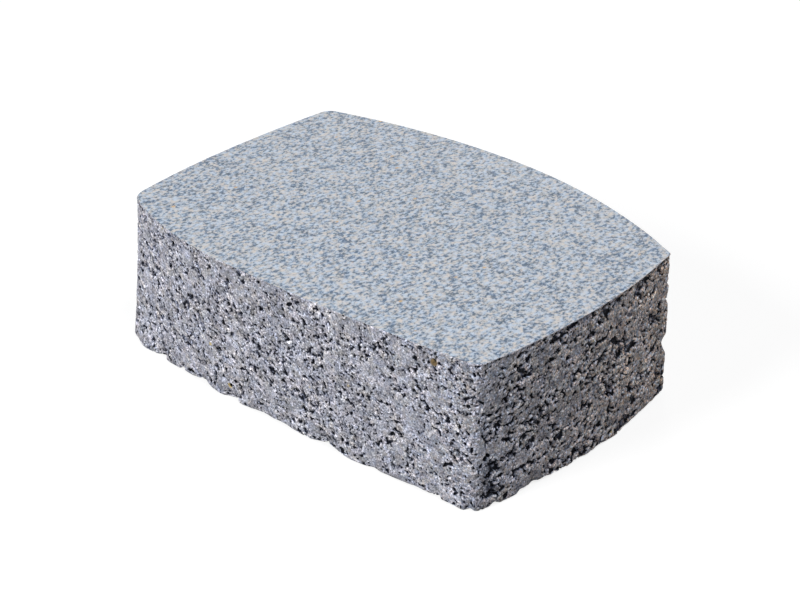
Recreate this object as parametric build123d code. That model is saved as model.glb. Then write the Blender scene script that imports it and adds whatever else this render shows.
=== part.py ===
"""A barrel-shaped concrete paver, pressed as one piece: a flat wearing face, a flat bed face and four bowed sides."""

from build123d import *
import os

# Overall sizes, in millimetres, measured over the crowns of the bowed sides.
length = 194.0
width = 134.0
thickness = 60.0

# Each side touches the overall box at its crown, which lies this far from the middle of the box.
front_crown_x = -30.0
back_crown_x = -1.0
left_crown_y = -7.0
right_crown_y = -2.5

# Each corner lies this far in from the crown of its short side (end) and of its long side (flank).
front_left_setback = {"end": 3.5, "flank": 13.5}
front_right_setback = {"end": 5.5, "flank": 8.5}
back_right_setback = {"end": 5.0, "flank": 21.0}
back_left_setback = {"end": 3.5, "flank": 14.5}

# The upright corners are eased, the one at the back right the least.
front_left_radius = 9.0
front_right_radius = 5.0
back_right_radius = 1.5
back_left_radius = 6.0

# Both front corners swell towards the bed, so that the front is less bowed there, and the left one is less rounded.
front_left_bed_setback = {"end": 3.0, "flank": 6.0}
front_left_bed_radius = 3.5
front_right_bed_setback = {"end": 7.0, "flank": 6.0}

# The arris round the wearing face is nearly sharp, and the one round the bed is worn.
top_arris_radius = 0.6
bed_arris_radius = 2.0


def corner(x_side, y_side, setback):
    """The unrounded corner that lies inside the overall box by its two setbacks."""
    x = x_side * (length / 2 - setback["end"])
    y = y_side * (width / 2 - setback["flank"])
    return Vector(x, y)


def bowed_side(start, crown, end, along):
    """Two arcs from corner to corner that run level with the overall box at their shared crown."""
    first = TangentArc(crown, start, tangent=-along)
    second = TangentArc(crown, end, tangent=along)
    return [first, second]


def plan(left_setback, left_radius, right_setback):
    """The plan at one height: four bowed sides and four rounded corners, of which the front two are given."""
    front_left = corner(-1, -1, left_setback)
    front_right = corner(1, -1, right_setback)
    back_right = corner(1, 1, back_right_setback)
    back_left = corner(-1, 1, back_left_setback)

    front = bowed_side(front_left, Vector(front_crown_x, -width / 2), front_right, Vector(1, 0))
    right = bowed_side(front_right, Vector(length / 2, right_crown_y), back_right, Vector(0, 1))
    back = bowed_side(back_right, Vector(back_crown_x, width / 2), back_left, Vector(-1, 0))
    left = bowed_side(back_left, Vector(-length / 2, left_crown_y), front_left, Vector(0, -1))
    face = make_face(front + right + back + left)

    radius_at = [
        (front_left, left_radius),
        (front_right, front_right_radius),
        (back_right, back_right_radius),
        (back_left, back_left_radius),
    ]
    for point, radius in radius_at:
        vertex = face.vertices().sort_by_distance(point)[0]
        face = fillet(vertex, radius)
    return face


def paver():
    """The bed's plan drawn up to the wearing face's plan, with both arrises eased."""
    bed = plan(front_left_bed_setback, front_left_bed_radius, front_right_bed_setback)
    wearing_face = Pos(0, 0, thickness) * plan(front_left_setback, front_left_radius, front_right_setback)
    block = loft([bed.face(), wearing_face.face()], ruled=True)
    block = fillet(block.faces().sort_by(Axis.Z)[-1].edges(), top_arris_radius)
    block = fillet(block.faces().sort_by(Axis.Z)[0].edges(), bed_arris_radius)
    return block


os.makedirs("parts", exist_ok=True)
export_step(paver(), "parts/paver.step")
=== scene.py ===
import math

import bmesh
import bpy
import numpy as np
from mathutils import Matrix, Vector


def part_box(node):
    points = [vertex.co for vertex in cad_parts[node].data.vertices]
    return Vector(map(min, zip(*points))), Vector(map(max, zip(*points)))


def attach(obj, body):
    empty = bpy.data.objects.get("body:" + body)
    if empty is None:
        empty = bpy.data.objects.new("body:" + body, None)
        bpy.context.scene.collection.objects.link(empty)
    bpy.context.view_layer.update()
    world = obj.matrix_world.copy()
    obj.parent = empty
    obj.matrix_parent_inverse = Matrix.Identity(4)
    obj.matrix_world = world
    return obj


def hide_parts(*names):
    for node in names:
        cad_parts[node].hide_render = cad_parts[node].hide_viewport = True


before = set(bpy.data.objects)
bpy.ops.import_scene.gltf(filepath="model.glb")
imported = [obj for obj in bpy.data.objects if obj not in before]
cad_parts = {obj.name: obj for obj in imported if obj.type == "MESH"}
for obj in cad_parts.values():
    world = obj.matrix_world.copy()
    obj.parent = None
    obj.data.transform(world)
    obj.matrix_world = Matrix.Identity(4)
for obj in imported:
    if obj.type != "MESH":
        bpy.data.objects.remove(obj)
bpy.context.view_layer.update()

MM = 0.001

low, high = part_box("paver")
thickness = high.z - low.z

# The mesh is built on a fine grid and then thinned to this many triangles.
triangle_limit = 192000
grid_step = 0.42 * MM
bed_step = 1.3 * MM
top_arris_rows = 3
bed_arris_rows = 8

# The wearing face meets the sides in a small arris. The bed meets them in a worn one, which wanders between
# two radii over about the given distance.
top_arris = 0.35 * MM
bed_arris_least = 1.0 * MM
bed_arris_most = 2.0 * MM
bed_arris_wander = 14 * MM

# The outlines of the solid are read from its corners within this much of its top and of its bed's arris.
outline_band = 1.0 * MM

# The roughness fades out over the first height, below the wearing face. The voids on the sides grow
# shallower over the second, above the floor, down to a share of their depth.
rim_height = 0.7 * MM
shallow_height = 4 * MM
shallowest_share = 0.35

# The middle of the bed lies this far above the floor.
bed_middle_height = 0.3 * MM

# A point counts as in a crevice by how much deeper it lies than those within this many grid steps.
crevice_reach = 4

# The texture is closed on the front, fully open on the right side, and between the two on the back, the
# left side and the bed.
hidden_openness = 0.6

# The front counts as closed a little before it faces squarely forward.
front_gain = 1.1

# The noise is read along turned axes, so that its grid doesn't run level with the sides.
noise_turn = np.array(Matrix.Rotation(0.9, 3, Vector((1.0, 2.0, 0.7))))

# The voids are longer along one slant. On both near sides it runs down towards their shared corner.
void_slant = np.array(Vector((1.0, -1.0, -0.7)).normalized()) @ noise_turn
void_stretch = 1.8

# Round grains and pebbles: the cell that each lies in, the share of the cells that hold one, its least and
# most radius as shares of the cell, and how softly the grains meet. Lengths from here down to the single
# grains are in millimetres.
large_grains = {"cell": 4.8, "fill": 0.50, "radii": (0.34, 0.56), "paste": 0.12}
medium_grains = {"cell": 2.4, "fill": 0.60, "radii": (0.36, 0.60), "paste": 0.10}
small_grains = {"cell": 1.3, "fill": 0.80, "radii": (0.38, 0.62), "paste": 0.08}
pebbles = {"cell": 9.0, "fill": 0.36, "radii": (0.28, 0.50), "paste": 0.15}
deepest_grain = 2.4
deepest_pebble = 3
pebble_sinking = 0.5

# A grain is looked for round the point this share of a cell below the surface.
grain_search_depth = 0.8

# The relief is read at places that are pushed about twice, and the pebbles at places that are pushed about
# once more. Each push has a size and a reach.
first_push = (1.6, 0.5)
second_push = (0.8, 0.25)
pebble_push = (3.5, 0.9)

# The voids are rarer, and the small grains less sunk, in patches of two sizes. The larger ones weigh more.
patch_size = 12
small_patch_size = 5
large_patch_share = 0.6
small_grain_sinking = 0.8
sinking_start = 0.4
sinking_most = 1.2

# Voids open where noise passes a threshold. What the open sides add to the noise, what is taken off it all
# over, in the patches and towards the front's right end, and how gently the voids begin.
void_size = 3.0
void_threshold = 0.24
void_ease = 0.20
open_void_ease = 0.12
open_void_gain = 0.56
void_loss = 0.36
patch_void_loss = 0.28
open_patch_void_gain = 0.08
right_end_loss = 0.30
right_end_reach = 60
void_depth = 0.5
open_void_depth = 0.8

# Pinholes are finer and open in the same way.
pinhole_size = 1.5
pinhole_threshold = 0.44
open_pinhole_gain = 0.08
pinhole_ease = 0.16
pinhole_depth = 0.9

# How much of the grains' own depth shows everywhere, more where the texture is open and more in a void.
grain_relief = 0.30
open_grain_relief = 0.15
hollow_grain_relief = 0.60

# A pebble counts as flush down to about the first depth. A crack runs round part of it, a little lower.
flush_depth = 0.10
crack_place = 0.32
crack_width = 0.16
crack_depth = 0.8
crack_length = 4
crack_threshold = -0.2
crack_ease = 0.4

# The slow unevenness of the sides, and the fine roughness of the paste.
tilt_size = 4.5
tilt_depth = 0.30
tilt_offset = 0.6
closed_tilt_share = 0.3
sway_size = 18
small_sway_size = 6
sway_depth = 0.12
paste_size = 1.2
paste_depth = 0.07
flush_paste_loss = 0.7

# Lumps, and lobes with narrow notches between them, break up the lowest part of the sides. The notches are
# shallower where the texture is open.
lobed_height = 7
lobe_size = 9
notch_width = 0.17
notch_depth = 2.1
open_notch_loss = 1.5
lump_size = 11
lump_depth = 1.1

# A lump, which has a negative depth, and two chips that show in the outline: where each lies, its reach and
# its depth.
chips = [
    ((-84.0, -63.0, 0.0), 13.0, -2.4),
    ((-95.0, -50.0, 20.0), 5.0, 1.8),
    ((91.5, 45.0, 22.0), 5.0, 2.2),
]

# Single coloured grains in the front: where each lies and its radius.
brown_grain = ((73.0, -61.3, 55.2), 1.6)
ochre_grains = [
    ((-28.4, -66.5, 5.9), 1.1),
    ((-37.9, -66.3, 20.6), 0.8),
]

# Spots in the materials: how many cells there are to a metre, the size of a spot as a share of its cell,
# the share of the cells that have one and how soft its edge is.
pale_specks = {"scale": 900.0, "size": 0.30, "chance": 0.08, "soft": 0.08}
ochre_specks = {"scale": 260.0, "size": 0.14, "chance": 0.03, "soft": 0.08}
small_pores = {"scale": 620.0, "size": 0.27, "chance": 0.30, "soft": 0.05}
face_ochre_specks = {"scale": 300.0, "size": 0.2, "chance": 0.03, "soft": 0.08}

# How fine each pattern of the sides is, in blotches or cells to a metre.
patch_scale = 110.0
hue_scale = 280.0
hue_fleck_scale = 950.0
sand_scale = 420.0
dust_scale = 2200.0
salt_scale = 1250.0
crumble_scale = 900.0
roughness_scale = 1000.0
shake_scale = 700.0
shake_reach = 0.0012

# How fine each pattern of the wearing face is.
face_ground_scale = 520.0
face_fleck_scale = 760.0
face_crowd_scale = 170.0
face_crowding = 0.17

# How much the hue varies at the front left and at the back right, and how much of the salt-and-pepper
# specks, whose bright end is painted glints, a flush pebble loses.
least_hue_fleck = 0.1
most_hue_fleck = 0.95
flush_salt_loss = 0.5

# How much a crevice's edge crumbles, in its painted shade and its bump, and how much of that is lost where
# the texture is open. Then the range of depths that counts, how much painted shade the pits' depth gives
# them, and how far crevices and bumps show in the bump's real shading.
crumbling = 0.9
open_crumbling_loss = 0.22
crevice_least = -0.4
crevice_most = 1.0
pit_painted_shade = 0.4
crevice_bump = 1.6
bump_height = 0.0006

# The sheen of the sides and of the wearing face.
side_roughness = 0.85
side_specular = 0.2
face_roughness = 0.7

# Colours of the single grains and specks, and the painted shade of the pores.
brown = (0.20, 0.14, 0.07)
ochre = (0.62, 0.50, 0.24)
dull_ochre = (0.50, 0.42, 0.24)
face_ochre = (0.62, 0.42, 0.22)
pale_speck = (0.88, 0.89, 0.93)
pore_shade = (0.012, 0.012, 0.016)

# The sides grow warmer in this direction, as painted warm light, from the first distance along it to the
# second, in metres.
warm_light_toward = (0.6, 0.8, 0.0)
warm_light_start = -0.02
warm_light_end = 0.11

# The grains of the wearing face are a little longer across the paver than along it.
face_grain_scale = (1.12, 0.84, 1.0)

# The floor reaches this far from the middle each way, in metres. It has a grey of its own and glows to the
# camera.
floor_half = 4.0
floor_grey = 0.3
floor_glow = 0.8

# The faint even light from all round.
sky_colour = (0.93, 0.96, 1.0, 1)
sky_strength = 0.10

# Each lamp stands this far from the middle of the paver and is this wide, in metres. Each has a direction
# and a power in watts.
lamp_distance = 1.6
lamp_width = 0.6
lamps = {
    "key": ((-0.2, -0.82, 0.53), 19.7),
    "top": ((0.40, 0.0, 0.90), 10.7),
    "back": ((-0.62, 0.76, 0.15), 9.0),
}

# The camera stands where the photograph was taken from. Its angles are in degrees, and its lens and sensor
# in millimetres.
camera_azimuth = 44.54
camera_elevation = 29.93
camera_roll = -1.57
camera_aim = Vector((10.7, -13.0, 35.1)) * MM
camera_distance = 750.6 * MM
camera_lens = 89.64
camera_sensor = 36.0


def hashed(cells, channel):
    """A repeatable number from 0 to 1 for each whole-number cell, another one for each channel."""
    mixed_bits = cells[..., 0].astype(np.uint32) * np.uint32(73856093)
    mixed_bits ^= cells[..., 1].astype(np.uint32) * np.uint32(19349663)
    mixed_bits ^= cells[..., 2].astype(np.uint32) * np.uint32(83492791)
    mixed_bits ^= np.uint32((channel * 2654435761) % 2 ** 32)
    mixed_bits ^= mixed_bits >> np.uint32(16)
    mixed_bits *= np.uint32(2246822519)
    mixed_bits ^= mixed_bits >> np.uint32(13)
    mixed_bits *= np.uint32(3266489917)
    mixed_bits ^= mixed_bits >> np.uint32(16)
    return mixed_bits.astype(np.float64) / 2.0 ** 32


def eased(share):
    """A share from 0 to 1 that starts and ends gently."""
    return share * share * (3 - 2 * share)


def smooth_noise(points, size, channel):
    """Noise from -1 to 1 that changes over about one size."""
    scaled = points / size
    cell = np.floor(scaled).astype(np.int64)
    part = eased(scaled - cell)
    total = np.zeros(len(points))
    for corner in np.ndindex(2, 2, 2):
        weight = np.ones(len(points))
        for axis in range(3):
            weight *= part[:, axis] if corner[axis] else 1 - part[:, axis]
        total += weight * hashed(cell + np.array(corner), channel)
    return total * 2 - 1


def layered_noise(points, size, channel, layers, gain):
    """Noise with finer and fainter layers laid over the first, spread about as widely as one layer."""
    total = np.zeros(len(points))
    power = 0.0
    for layer in range(layers):
        weight = gain ** layer
        total += weight * smooth_noise(points, size / 2 ** layer, channel + layer)
        power += weight * weight
    return total / math.sqrt(power)


def share_above(values, start, width):
    """An eased step from 0 to 1 over the given width."""
    return eased(np.clip((values - start) / width, 0, 1))


def warped(points, push, channel):
    """The points, each pushed about by up to the push's reach along each axis."""
    size, reach = push
    shifts = [smooth_noise(points, size * MM, channel + axis) for axis in range(3)]
    return points + reach * MM * np.stack(shifts, axis=1)


def grain_depth(points, normals, grains, channel):
    """How far below each surface point the first round grain lies, with paste where grains meet."""
    cell = grains["cell"] * MM
    paste = grains["paste"] * MM
    least, most = grains["radii"]
    centre = points - normals * cell * grain_search_depth
    home = np.floor(centre / cell).astype(np.int64)
    gathered = np.zeros(len(points))
    for shift in np.ndindex(3, 3, 3):
        grain = home + np.array(shift) - 1
        jitter = np.stack([hashed(grain, channel + axis) for axis in range(3)], axis=1)
        middle = (grain + jitter) * cell
        radius = cell * (least + (most - least) * hashed(grain, channel + 3))
        away = middle - points
        sunk = -np.einsum("ij,ij->i", away, normals)
        aside = np.einsum("ij,ij->i", away, away) - sunk * sunk
        inside = (aside < radius * radius) & (hashed(grain, channel + 4) < grains["fill"])
        reach = np.sqrt(np.maximum(radius * radius - aside, 0))
        depth = sunk - reach
        gathered += np.where(inside, np.exp(-np.clip(depth, -2 * paste, None) / paste), 0)
    return -paste * np.log(gathered + 1e-12)


def convex_outline(points):
    """The corners of the smallest convex outline round some plan points, anticlockwise."""
    ordered = sorted({(round(float(x), 7), round(float(y), 7)) for x, y in points})

    def half(sequence):
        chain = []
        for point in sequence:
            while len(chain) > 1:
                before, last = chain[-2], chain[-1]
                turn = (last[0] - before[0]) * (point[1] - before[1])
                turn -= (last[1] - before[1]) * (point[0] - before[0])
                if turn > 0:
                    break
                chain.pop()
            chain.append(point)
        return chain[:-1]

    return np.array(half(ordered) + half(ordered[::-1]))


def even_points(outline, step):
    """Evenly spaced points round a closed outline, a multiple of four of them."""
    closed = np.vstack([outline, outline[:1]])
    lengths = np.linalg.norm(np.diff(closed, axis=0), axis=1)
    along = np.concatenate([[0], np.cumsum(lengths)])
    count = 4 * round(along[-1] / step / 4)
    at = np.linspace(0, along[-1], count, endpoint=False)
    return np.stack([np.interp(at, along, closed[:, axis]) for axis in range(2)], axis=1)


def outward_normals(outline):
    """The level normal at each point of an anticlockwise outline."""
    ahead = np.roll(outline, -2, axis=0) - np.roll(outline, 2, axis=0)
    normal = np.stack([ahead[:, 1], -ahead[:, 0]], axis=1)
    return normal / np.linalg.norm(normal, axis=1, keepdims=True)


def reach_toward(outline, angles):
    """How far from the middle a closed outline lies at each angle."""
    dense = even_points(outline, 0.1 * MM)
    order = np.arctan2(dense[:, 1], dense[:, 0])
    return np.interp(angles, order, np.linalg.norm(dense, axis=1), period=2 * math.pi)


def side_profile(arris):
    """Rows from the rim of the wearing face down to the bed: inset, height and the tilt of the normal."""
    rows = []
    for turn in np.linspace(90, 0, top_arris_rows):
        angle = math.radians(turn)
        inset = top_arris * (1 - math.cos(angle))
        height = thickness - top_arris * (1 - math.sin(angle))
        rows.append((np.full_like(arris, inset), np.full_like(arris, height), angle))
    straight = thickness - top_arris - arris
    wall_rows = round(float((thickness - top_arris - bed_arris_least) / grid_step))
    for share in np.linspace(0, 1, wall_rows)[1:]:
        rows.append((np.zeros_like(arris), thickness - top_arris - straight * share, 0.0))
    for turn in np.linspace(0, -90, bed_arris_rows)[1:]:
        angle = math.radians(turn)
        rows.append((arris * (1 - math.cos(angle)), arris * (1 + math.sin(angle)), angle))
    return rows


def smooth_grid():
    """Rings of points down the sides and in over the bed, their normals, and how many rings and points."""
    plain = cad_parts["paver"]
    corners = np.array([vertex.co[:] for vertex in plain.data.vertices])
    upper = corners[corners[:, 2] > thickness - outline_band]
    lower = corners[corners[:, 2] < outline_band + bed_arris_most]
    outline = even_points(convex_outline(upper[:, :2]), grid_step)
    normal = outward_normals(outline)
    count = len(outline)
    top_reach = np.linalg.norm(outline, axis=1)
    toward = outline / top_reach[:, None]
    lean = np.einsum("ij,ij->i", toward, normal)
    bed_reach = reach_toward(convex_outline(lower[:, :2]), np.arctan2(outline[:, 1], outline[:, 0]))

    level = np.column_stack([outline, np.zeros(count)])
    wander = smooth_noise(level, bed_arris_wander, channel=5) * 0.5 + 0.5
    arris = bed_arris_least + (bed_arris_most - bed_arris_least) * wander

    points = []
    normals = []
    for inset, height, angle in side_profile(arris):
        reach = bed_reach + (top_reach - bed_reach) * height / thickness - inset / lean
        points.append(np.column_stack([toward * reach[:, None], height]))
        across = normal * math.cos(angle)
        normals.append(np.column_stack([across, np.full(count, math.sin(angle))]))

    last = points[-1][:, :2]
    bed_rows = round(float(top_reach.max() / bed_step))
    down = np.tile([0.0, 0.0, -1.0], (count, 1))
    for share in np.linspace(1, 0, bed_rows)[1:-1]:
        points.append(np.column_stack([last * share, np.zeros(count)]))
        normals.append(down)
    return np.vstack(points), np.vstack(normals), len(points), count


def openness(normals):
    """How open the texture is: 0 on the front, 1 on the right side and between the two elsewhere."""
    rightness = np.clip(normals[:, 0], 0, 1) ** 2
    frontness = np.clip(-front_gain * normals[:, 1], 0, 1)
    return hidden_openness + (1 - hidden_openness) * rightness - hidden_openness * frontness


def packed_grains(bent, facing, patchy):
    """How deep the surface lies between grains of three sizes, with the small ones sunk in some patches."""
    large = grain_depth(bent, facing, large_grains, channel=40)
    medium = grain_depth(bent, facing, medium_grains, channel=50)
    small = grain_depth(bent, facing, small_grains, channel=60)
    small = small + np.clip(sinking_start - patchy, 0, sinking_most) * small_grain_sinking * MM
    return np.clip(np.minimum(np.minimum(large, medium), small), 0, deepest_grain * MM)


def voids(points, drawn, patchy, open_side):
    """How far each point is hollowed by an open void and by a pinhole, both from 0 to 1."""
    rightward = np.clip(points[:, 0] / (right_end_reach * MM), -1, 1) * (1 - open_side)
    missing = -layered_noise(drawn, void_size * MM, channel=100, layers=4, gain=0.65)
    missing = missing - (patch_void_loss - open_patch_void_gain * open_side) * patchy
    missing = missing + open_void_gain * open_side - void_loss - right_end_loss * rightward
    hollow = share_above(missing, void_threshold, void_ease + open_void_ease * open_side)
    dotted = -layered_noise(drawn, pinhole_size * MM, channel=150, layers=2, gain=0.6)
    pinholes = share_above(dotted, pinhole_threshold - open_pinhole_gain * open_side, pinhole_ease)
    return hollow, pinholes


def with_pebbles(depth, place, bent, facing, open_side):
    """The depth with pebbles and a crack round part of each, and how flush each point is, from 0 to 1."""
    loosened = warped(bent, pebble_push, channel=95)
    pebble = grain_depth(loosened, facing, pebbles, channel=90)
    pebble = np.clip(pebble + pebble_sinking * open_side * MM, 0, deepest_pebble * MM)
    depth = np.minimum(depth, pebble)
    flush = np.exp(-pebble / (flush_depth * MM))
    part = share_above(smooth_noise(place, crack_length * MM, channel=75), crack_threshold, crack_ease)
    crack = np.exp(-((pebble - crack_place * MM) / (crack_width * MM)) ** 2) * part
    return np.maximum(depth, crack * crack_depth * MM), flush


def broken_out(points):
    """How deep the chips that show in the outline are at each point."""
    depth = np.zeros(len(points))
    for middle, reach, deepest in chips:
        away = np.linalg.norm(points - np.array(middle) * MM, axis=1)
        near = np.clip(1 - away / (reach * MM), 0, 1)
        depth += deepest * MM * near * near * (3 - 2 * near)
    return depth


def unevenness(points, place, drawn, open_side):
    """How far in the whole surface lies: a slow sway and tilt, lumps and lobes low down, and the chips."""
    tilted = layered_noise(drawn, tilt_size * MM, channel=110, layers=2, gain=0.5)
    tilted = (tilted + tilt_offset) * tilt_depth * MM
    tilted = tilted * (closed_tilt_share + (1 - closed_tilt_share) * open_side)
    plan = points * np.array([1.0, 1.0, 0.0])
    low_down = np.clip(1 - points[:, 2] / (lobed_height * MM), 0, 1)
    slow = smooth_noise(place, sway_size * MM, channel=81)
    quick = smooth_noise(place, small_sway_size * MM, channel=82)
    sway = (slow + quick + 2) * sway_depth * MM
    notches = np.exp(-(smooth_noise(plan, lobe_size * MM, channel=85) / notch_width) ** 2)
    notches = notches * (notch_depth - open_notch_loss * open_side)
    lumps = smooth_noise(plan, lump_size * MM, channel=83) * lump_depth
    return sway + (lumps + notches) * MM * low_down + tilted + broken_out(points)


def relief(points, normals):
    """For each point: how deep its pit is, how far in the surface lies, how flush it is and how open."""
    open_side = openness(normals)
    place = points @ noise_turn
    facing = normals @ noise_turn
    bent = warped(place, first_push, channel=11)
    bent = warped(bent, second_push, channel=21)
    drawn = bent - np.outer(bent @ void_slant, void_slant) * (1 - 1 / void_stretch)
    patchy = smooth_noise(place, patch_size * MM, channel=31) * large_patch_share
    patchy = patchy + smooth_noise(place, small_patch_size * MM, channel=32) * (1 - large_patch_share)

    grains = packed_grains(bent, facing, patchy)
    hollow, pinholes = voids(points, drawn, patchy, open_side)
    depth = hollow * (void_depth + open_void_depth * open_side) * MM
    depth = depth + grains * (grain_relief + open_grain_relief * open_side + hollow_grain_relief * hollow)
    depth = np.maximum(depth, pinholes * pinhole_depth * MM)
    depth, flush = with_pebbles(depth, place, bent, facing, open_side)
    fine = layered_noise(place, paste_size * MM, channel=71, layers=2, gain=0.6)
    depth = depth + fine * paste_depth * MM * (1 - flush_paste_loss * flush)
    return depth, unevenness(points, place, drawn, open_side), flush, open_side


def narrow_part(depth, rows, count, reach):
    """How much deeper each grid point lies than those round it, which is large only in a narrow crevice."""
    grid = depth.reshape(rows, count)
    steps = range(-reach, reach + 1)
    level = sum(np.roll(grid, step, axis=1) for step in steps) / len(steps)
    padded = np.pad(level, ((reach, reach), (0, 0)), mode="edge")
    level = sum(padded[reach + step:reach + step + rows] for step in steps) / len(steps)
    return (grid - level).ravel()


def grid_faces(rows, count, bed_middle):
    """Quads between the rings, and triangles from the last ring to the middle of the bed."""
    here = np.arange(count)
    after = (here + 1) % count
    faces = []
    for row in range(rows - 1):
        upper = row * count
        lower = upper + count
        faces += np.stack([upper + here, lower + here, lower + after, upper + after], axis=1).tolist()
    last = (rows - 1) * count
    return faces + np.stack([last + here, np.full(count, bed_middle), last + after], axis=1).tolist()


def paver_mesh():
    """The four rough sides and the rough bed, open at the wearing face."""
    place, facing, rows, count = smooth_grid()
    pit, inset, flush, open_side = relief(place, facing)
    crevice = narrow_part(pit, rows, count, crevice_reach)
    fade = np.clip((thickness - place[:, 2]) / rim_height, 0, 1)
    settled = np.clip(np.maximum(place[:, 2] / shallow_height, -facing[:, 2]), shallowest_share, 1)
    moved = place - facing * ((pit * settled + inset) * fade)[:, None]
    moved[:, 2] = np.maximum(moved[:, 2], 0)
    vertices = np.vstack([moved, [[0, 0, bed_middle_height]]])

    mesh = bpy.data.meshes.new("paver_concrete")
    mesh.from_pydata(vertices.tolist(), [], grid_faces(rows, count, len(moved)))
    # The side material paints shade from the pit and crevice numbers, and light where the crevice number is
    # low.
    attributes = {"pit": pit / MM, "crevice": crevice / MM, "flush": flush, "open_side": open_side}
    for name, values in attributes.items():
        layer = mesh.attributes.new(name, "FLOAT", "POINT")
        layer.data.foreach_set("value", np.append(values, 0.0).astype(np.float32))
    mesh.update()
    return mesh


def thin(piece):
    """Takes away the triangles that the shape needs least."""
    triangles = sum(len(face.vertices) - 2 for face in piece.data.polygons)
    change = piece.modifiers.new("thin", "DECIMATE")
    change.ratio = min(1.0, triangle_limit / triangles)
    with bpy.context.temp_override(object=piece, active_object=piece, selected_objects=[piece]):
        bpy.ops.object.modifier_apply(modifier=change.name)


def close_with_cap(piece):
    """Closes the open rim with the flat wearing face, and keeps the bed on the floor."""
    surface = bmesh.new()
    surface.from_mesh(piece.data)
    rim = [edge for edge in surface.edges if edge.is_boundary]
    for vertex in {corner for edge in rim for corner in edge.verts}:
        vertex.co.z = thickness
    for vertex in surface.verts:
        vertex.co.z = max(vertex.co.z, 0)
    for face in surface.faces:
        face.smooth = True
    cap = bmesh.ops.contextual_create(surface, geom=rim)["faces"]
    bmesh.ops.recalc_face_normals(surface, faces=surface.faces)
    for face in cap:
        face.smooth = False
        face.material_index = 1
    for edge in rim:
        edge.smooth = False
    surface.to_mesh(piece.data)
    surface.free()


def new_material(name):
    """An empty node material and its shader."""
    material = bpy.data.materials.new(name)
    material.use_nodes = True
    tree = material.node_tree
    tree.nodes.clear()
    output = tree.nodes.new("ShaderNodeOutputMaterial")
    shader = tree.nodes.new("ShaderNodeBsdfPrincipled")
    tree.links.new(shader.outputs["BSDF"], output.inputs["Surface"])
    return material, tree, shader


def node(tree, kind, inputs=None, **settings):
    """A node with its settings made and its inputs set or linked."""
    made = tree.nodes.new(kind)
    for name, value in settings.items():
        setattr(made, name, value)
    for name, value in (inputs or {}).items():
        if isinstance(value, bpy.types.NodeSocket):
            tree.links.new(value, made.inputs[name])
        else:
            made.inputs[name].default_value = value
    return made


def maths(tree, operation, *values):
    """The result of one sum on numbers or sockets."""
    return node(tree, "ShaderNodeMath", dict(enumerate(values)), operation=operation).outputs[0]


def noise(tree, place, scale, detail, roughness=0.5):
    """Noise about 0.5, with the given number of blotches to a metre."""
    inputs = {"Vector": place, "Scale": scale, "Detail": detail, "Roughness": roughness}
    return node(tree, "ShaderNodeTexNoise", inputs).outputs["Fac"]


def between(tree, value, start, end, least=0.0, most=1.0):
    """A number that goes from the least to the most as the value goes from start to end."""
    inputs = {"Value": value, "From Min": start, "From Max": end, "To Min": least, "To Max": most}
    return node(tree, "ShaderNodeMapRange", inputs).outputs["Result"]


def attribute(tree, name):
    """A number that the mesh carries at each point."""
    return node(tree, "ShaderNodeAttribute", attribute_name=name).outputs["Fac"]


def grey(value):
    """A colour with three equal parts."""
    return (value, value, value)


def ramp(tree, factor, stops):
    """A colour ramp from (place, colour) stops."""
    made = tree.nodes.new("ShaderNodeValToRGB")
    elements = made.color_ramp.elements
    while len(elements) < len(stops):
        elements.new(0.5)
    for element, (place, colour) in zip(elements, stops):
        element.position = place
        element.color = (*colour, 1)
    tree.links.new(factor, made.inputs["Fac"])
    return made.outputs["Color"]


def mixed(tree, share, first, second, blend="MIX"):
    """Two colours mixed."""
    made = tree.nodes.new("ShaderNodeMix")
    made.data_type = "RGBA"
    made.blend_type = blend
    for socket, value in ((made.inputs[0], share), (made.inputs[6], first), (made.inputs[7], second)):
        if isinstance(value, bpy.types.NodeSocket):
            tree.links.new(value, socket)
        elif isinstance(value, tuple):
            socket.default_value = (*value, 1)
        else:
            socket.default_value = value
    return made.outputs[2]


def tinted(tree, colour, tint):
    """A colour multiplied by another."""
    return mixed(tree, 1.0, colour, tint, "MULTIPLY")


def spots(tree, place, scale, size, chance, soft):
    """Spots of the given size, as a share of a cell, in the given share of the cells."""
    cells = node(tree, "ShaderNodeTexVoronoi", {"Vector": place, "Scale": scale})
    split = node(tree, "ShaderNodeSeparateColor", {"Color": cells.outputs["Color"]})
    chosen = maths(tree, "LESS_THAN", split.outputs[0], chance)
    near = between(tree, cells.outputs["Distance"], size + soft, size - soft)
    return maths(tree, "MULTIPLY", chosen, near)


def grain_at(tree, place, middle, radius):
    """A single round grain about one point, as a share from 0 to 1."""
    point = tuple(value * MM for value in middle)
    away = node(tree, "ShaderNodeVectorMath", {0: place, 1: point}, operation="DISTANCE").outputs["Value"]
    return between(tree, away, radius * 1.2 * MM, radius * 0.8 * MM)


def shaken(tree, place):
    """The place pushed about by fine noise, so that cells read there have ragged edges."""
    push = node(tree, "ShaderNodeTexNoise", {"Vector": place, "Scale": shake_scale, "Detail": 1.0})
    inputs = {0: push.outputs["Color"], 1: (shake_reach, shake_reach, shake_reach), 2: place}
    return node(tree, "ShaderNodeVectorMath", inputs, operation="MULTIPLY_ADD").outputs["Vector"]


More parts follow.
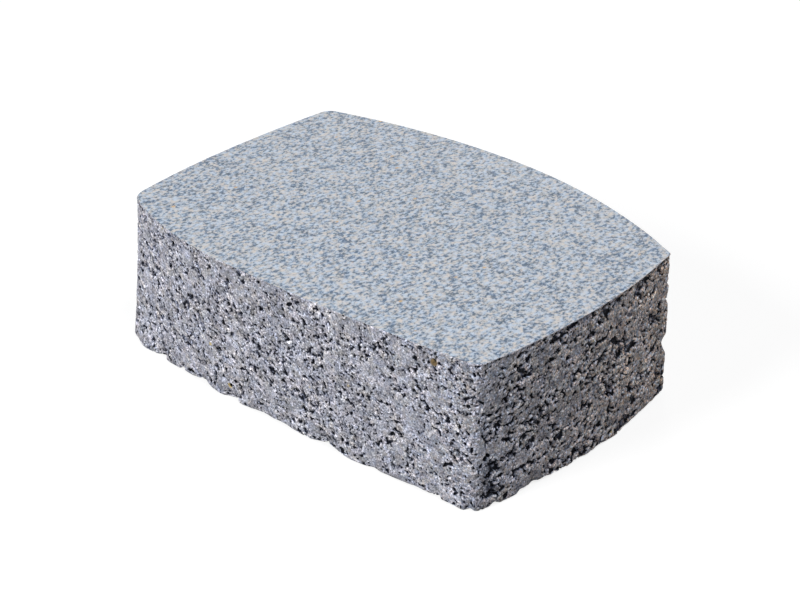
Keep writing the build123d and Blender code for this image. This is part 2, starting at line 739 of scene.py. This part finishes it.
def paste_colour(tree, place):
    """Blue-grey paste in slow patches, with painted warm light towards the back right, where it is also
    more varied in hue.
    """
    patches = noise(tree, place, patch_scale, 3.0)
    colour = ramp(tree, patches, [(0.3, (0.370, 0.379, 0.430)), (0.7, (0.508, 0.520, 0.590))])
    hue = noise(tree, place, hue_scale, 2.0)
    hue = ramp(tree, hue, [(0.35, (1.04, 1.0, 0.96)), (0.5, grey(1.0)), (0.65, (0.97, 1.0, 1.03))])
    colour = tinted(tree, colour, hue)

    # Painted warm light, growing towards the back right.
    along = node(tree, "ShaderNodeVectorMath", {0: place, 1: warm_light_toward}, operation="DOT_PRODUCT")
    backward = between(tree, along.outputs["Value"], warm_light_start, warm_light_end)
    warm_light = ramp(tree, backward, [(0.2, grey(1.0)), (1.0, (1.10, 0.955, 0.79))])
    colour = tinted(tree, colour, warm_light)
    fleck = noise(tree, place, hue_fleck_scale, 2.0)
    fleck = ramp(tree, fleck, [(0.36, (1.24, 0.98, 0.76)), (0.5, grey(1.0)), (0.64, (0.78, 1.01, 1.25))])
    varied = between(tree, backward, 0.0, 1.0, least_hue_fleck, most_hue_fleck)
    return mixed(tree, varied, colour, tinted(tree, colour, fleck))


def with_grains(tree, place, ragged_place, colour):
    """The paste with sand grains of several tones and hues, dust, fine dark specks and painted glints."""
    cells = node(tree, "ShaderNodeTexVoronoi", {"Vector": ragged_place, "Scale": sand_scale})
    split = node(tree, "ShaderNodeSeparateColor", {"Color": cells.outputs["Color"]}).outputs
    tone = [(0.0, grey(0.68)), (0.4, grey(0.90)), (0.8, grey(1.12)), (1.0, grey(1.34))]
    colour = tinted(tree, colour, ramp(tree, split[0], tone))
    kind = [(0.0, (1.04, 1.02, 0.96)), (0.3, grey(1.0)), (1.0, (0.985, 0.985, 1.035))]
    colour = tinted(tree, colour, ramp(tree, split[1], kind))
    dust = noise(tree, place, dust_scale, 1.0)
    colour = tinted(tree, colour, ramp(tree, dust, [(0.36, grey(0.66)), (0.64, grey(1.34))]))

    # Dark specks at the low end. The bright end, past the paste's own colour, is painted glints.
    pepper_to_painted_glint = [
        (0.33, (0.22, 0.22, 0.24)),
        (0.42, (0.87, 0.87, 0.88)),
        (0.56, grey(1.03)),
        (0.66, (2.0, 2.0, 2.03)),
    ]
    salt = ramp(tree, noise(tree, place, salt_scale, 2.0), pepper_to_painted_glint)
    calm = maths(tree, "MULTIPLY_ADD", attribute(tree, "flush"), -flush_salt_loss, 1.0)
    return mixed(tree, calm, colour, tinted(tree, colour, salt))


def with_specks(tree, place, colour):
    """Pale and ochre specks, and the single coloured grains."""
    colour = mixed(tree, spots(tree, place, **pale_specks), colour, pale_speck)
    colour = mixed(tree, spots(tree, place, **ochre_specks), colour, dull_ochre)
    for middle, radius in ochre_grains:
        colour = mixed(tree, grain_at(tree, place, middle, radius), colour, ochre)
    middle, radius = brown_grain
    return mixed(tree, grain_at(tree, place, middle, radius), colour, brown)


def torn_edges(tree, place):
    """How far down a crevice each point is, from 0 to 1, with crumbling edges."""
    crumble = maths(tree, "SUBTRACT", noise(tree, place, crumble_scale, 2.0), 0.5)
    ragged = maths(tree, "MULTIPLY_ADD", attribute(tree, "open_side"), -open_crumbling_loss, crumbling)
    torn = maths(tree, "MULTIPLY_ADD", crumble, ragged, attribute(tree, "crevice"))
    return between(tree, torn, crevice_least, crevice_most)


def with_painted_hollow_shade(tree, colour, torn):
    """The colour with painted shade, deeper with the pit's depth and far more in the crevices, and painted
    light on what stands out.
    """
    # Painted shade that grows with the pit's depth.
    depth = maths(tree, "MULTIPLY", attribute(tree, "pit"), pit_painted_shade)
    deep = ramp(tree, depth, [(0.08, grey(1.0)), (0.26, (0.80, 0.82, 0.87)), (0.60, (0.20, 0.23, 0.31))])
    colour = tinted(tree, colour, deep)
    # Painted light on what stands out, then painted shade, bluish to near black, down the crevices.
    hollow = [
        (0.0, (1.48, 1.44, 1.38)),
        (0.22, (1.16, 1.14, 1.11)),
        (0.37, (0.83, 0.85, 0.89)),
        (0.44, (0.15, 0.167, 0.22)),
        (0.52, (0.010, 0.013, 0.024)),
    ]
    return tinted(tree, colour, ramp(tree, torn, hollow))


def side_material():
    """Open-textured grey concrete, with paste, grains, small pores and specks, painted glints, and painted
    shade in pores and crevices.
    """
    material, tree, shader = new_material("side_concrete")
    place = node(tree, "ShaderNodeTexCoord").outputs["Object"]
    ragged_place = shaken(tree, place)
    colour = paste_colour(tree, place)
    colour = with_grains(tree, place, ragged_place, colour)
    colour = with_specks(tree, place, colour)
    # Small pores, pressed into the bump and given a painted black shade.
    pores = spots(tree, ragged_place, **small_pores)
    colour = mixed(tree, pores, colour, pore_shade)
    torn = torn_edges(tree, place)
    # Painted shade in the pits and crevices, and painted light on what stands out.
    colour = with_painted_hollow_shade(tree, colour, torn)
    tree.links.new(colour, shader.inputs["Base Color"])
    shader.inputs["Roughness"].default_value = side_roughness
    shader.inputs["Specular IOR Level"].default_value = side_specular

    height = maths(tree, "SUBTRACT", noise(tree, place, roughness_scale, 3.0), pores)
    height = maths(tree, "SUBTRACT", height, maths(tree, "MULTIPLY", torn, crevice_bump))
    bump = node(tree, "ShaderNodeBump", {"Height": height, "Distance": bump_height, "Strength": 1.0})
    tree.links.new(bump.outputs["Normal"], shader.inputs["Normal"])
    return material


def face_material():
    """The fine face mix: slate, ice-blue and greige grains with a few ochre ones."""
    material, tree, shader = new_material("wearing_face")
    place = node(tree, "ShaderNodeTexCoord").outputs["Object"]
    place = node(tree, "ShaderNodeMapping", {"Vector": place, "Scale": face_grain_scale}).outputs["Vector"]
    ground = noise(tree, place, face_ground_scale, 2.0)
    greige_to_blue = [(0.36, (0.56, 0.53, 0.51)), (0.5, (0.50, 0.53, 0.58)), (0.64, (0.47, 0.55, 0.66))]
    colour = ramp(tree, ground, greige_to_blue)
    fleck = noise(tree, place, face_fleck_scale, 3.0, roughness=0.65)
    crowd = noise(tree, place, face_crowd_scale, 2.0)
    fleck = maths(tree, "MULTIPLY_ADD", crowd, face_crowding, fleck)
    slate = [
        (0.455, (0.155, 0.235, 0.335)),
        (0.545, (0.58, 0.64, 0.72)),
        (0.595, (0.91, 0.93, 0.95)),
        (0.705, (1.16, 1.14, 1.11)),
    ]
    colour = tinted(tree, colour, ramp(tree, fleck, slate))
    colour = mixed(tree, spots(tree, place, **face_ochre_specks), colour, face_ochre)
    tree.links.new(colour, shader.inputs["Base Color"])
    shader.inputs["Roughness"].default_value = face_roughness
    return material


def build_paver():
    """The visible paver, which stands for the plain solid."""
    mesh = paver_mesh()
    piece = bpy.data.objects.new("paver_concrete", mesh)
    bpy.context.scene.collection.objects.link(piece)
    mesh.materials.append(side_material())
    mesh.materials.append(face_material())
    thin(piece)
    close_with_cap(piece)
    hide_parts("paver")
    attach(piece, "root")


def seen_rays(tree):
    """Picks the rays that show what lies behind: the camera's, mirrored ones and ones through glass."""
    rays = node(tree, "ShaderNodeLightPath").outputs
    seen = rays["Is Camera Ray"]
    for other in ("Is Glossy Ray", "Is Transmission Ray"):
        seen = maths(tree, "MAXIMUM", seen, rays[other])
    return seen


def build_floor():
    """A pale floor that reads white to the camera and keeps the paver's shadow."""
    half = floor_half
    mesh = bpy.data.meshes.new("floor")
    corners = [(-half, -half, 0), (half, -half, 0), (half, half, 0), (-half, half, 0)]
    mesh.from_pydata(corners, [], [(0, 1, 2, 3)])
    floor = bpy.data.objects.new("floor", mesh)
    bpy.context.scene.collection.objects.link(floor)
    material = bpy.data.materials.new("floor")
    material.use_nodes = True
    tree = material.node_tree
    tree.nodes.clear()
    output = tree.nodes.new("ShaderNodeOutputMaterial")
    diffuse = node(tree, "ShaderNodeBsdfDiffuse", {"Color": (*grey(floor_grey), 1)})
    glow = node(tree, "ShaderNodeEmission", {"Color": (1, 1, 1, 1), "Strength": floor_glow})
    none = node(tree, "ShaderNodeEmission", {"Color": (0, 0, 0, 1), "Strength": 0.0})
    pick = tree.nodes.new("ShaderNodeMixShader")
    tree.links.new(seen_rays(tree), pick.inputs[0])
    tree.links.new(none.outputs[0], pick.inputs[1])
    tree.links.new(glow.outputs[0], pick.inputs[2])
    both = tree.nodes.new("ShaderNodeAddShader")
    tree.links.new(diffuse.outputs[0], both.inputs[0])
    tree.links.new(pick.outputs[0], both.inputs[1])
    tree.links.new(both.outputs[0], output.inputs["Surface"])
    mesh.materials.append(material)


def build_world():
    """Even soft light all round, white where the camera sees it."""
    world = bpy.data.worlds.new("studio")
    bpy.context.scene.world = world
    world.use_nodes = True
    tree = world.node_tree
    tree.nodes.clear()
    output = tree.nodes.new("ShaderNodeOutputWorld")
    fill = node(tree, "ShaderNodeBackground", {"Color": sky_colour, "Strength": sky_strength})
    white = node(tree, "ShaderNodeBackground", {"Color": (1, 1, 1, 1), "Strength": 1.0})
    pick = tree.nodes.new("ShaderNodeMixShader")
    tree.links.new(seen_rays(tree), pick.inputs[0])
    tree.links.new(fill.outputs[0], pick.inputs[1])
    tree.links.new(white.outputs[0], pick.inputs[2])
    tree.links.new(pick.outputs[0], output.inputs["Surface"])


def add_lamp(name, direction, power):
    """A round lamp that shines on the middle of the paver from a direction."""
    light = bpy.data.lights.new(name, "AREA")
    light.shape = "DISK"
    light.size = lamp_width
    light.energy = power
    lamp = bpy.data.objects.new(name, light)
    bpy.context.scene.collection.objects.link(lamp)
    away = Vector(direction).normalized()
    lamp.location = Vector((0, 0, thickness / 2)) + away * lamp_distance
    lamp.rotation_euler = away.to_track_quat("Z", "Y").to_euler()


def build_camera():
    """The photograph's viewpoint."""
    azimuth = math.radians(camera_azimuth)
    elevation = math.radians(camera_elevation)
    roll = math.radians(camera_roll)
    level_reach = math.cos(elevation)
    back = Vector((math.sin(azimuth) * level_reach, -math.cos(azimuth) * level_reach, math.sin(elevation)))
    level = Vector((math.cos(azimuth), math.sin(azimuth), 0))
    right = level * math.cos(roll) + back.cross(level) * math.sin(roll)
    up = back.cross(right)
    camera = bpy.data.objects.new("camera", bpy.data.cameras.new("camera"))
    bpy.context.scene.collection.objects.link(camera)
    camera.data.lens = camera_lens
    camera.data.sensor_width = camera_sensor
    turn = Matrix((right, up, back)).transposed()
    camera.matrix_world = Matrix.Translation(camera_aim + back * camera_distance) @ turn.to_4x4()
    bpy.context.scene.camera = camera


build_paver()
build_floor()
build_world()
for lamp_name, (lamp_direction, lamp_power) in lamps.items():
    add_lamp(lamp_name, lamp_direction, lamp_power)
build_camera()
bpy.context.scene.view_settings.view_transform = "Standard"
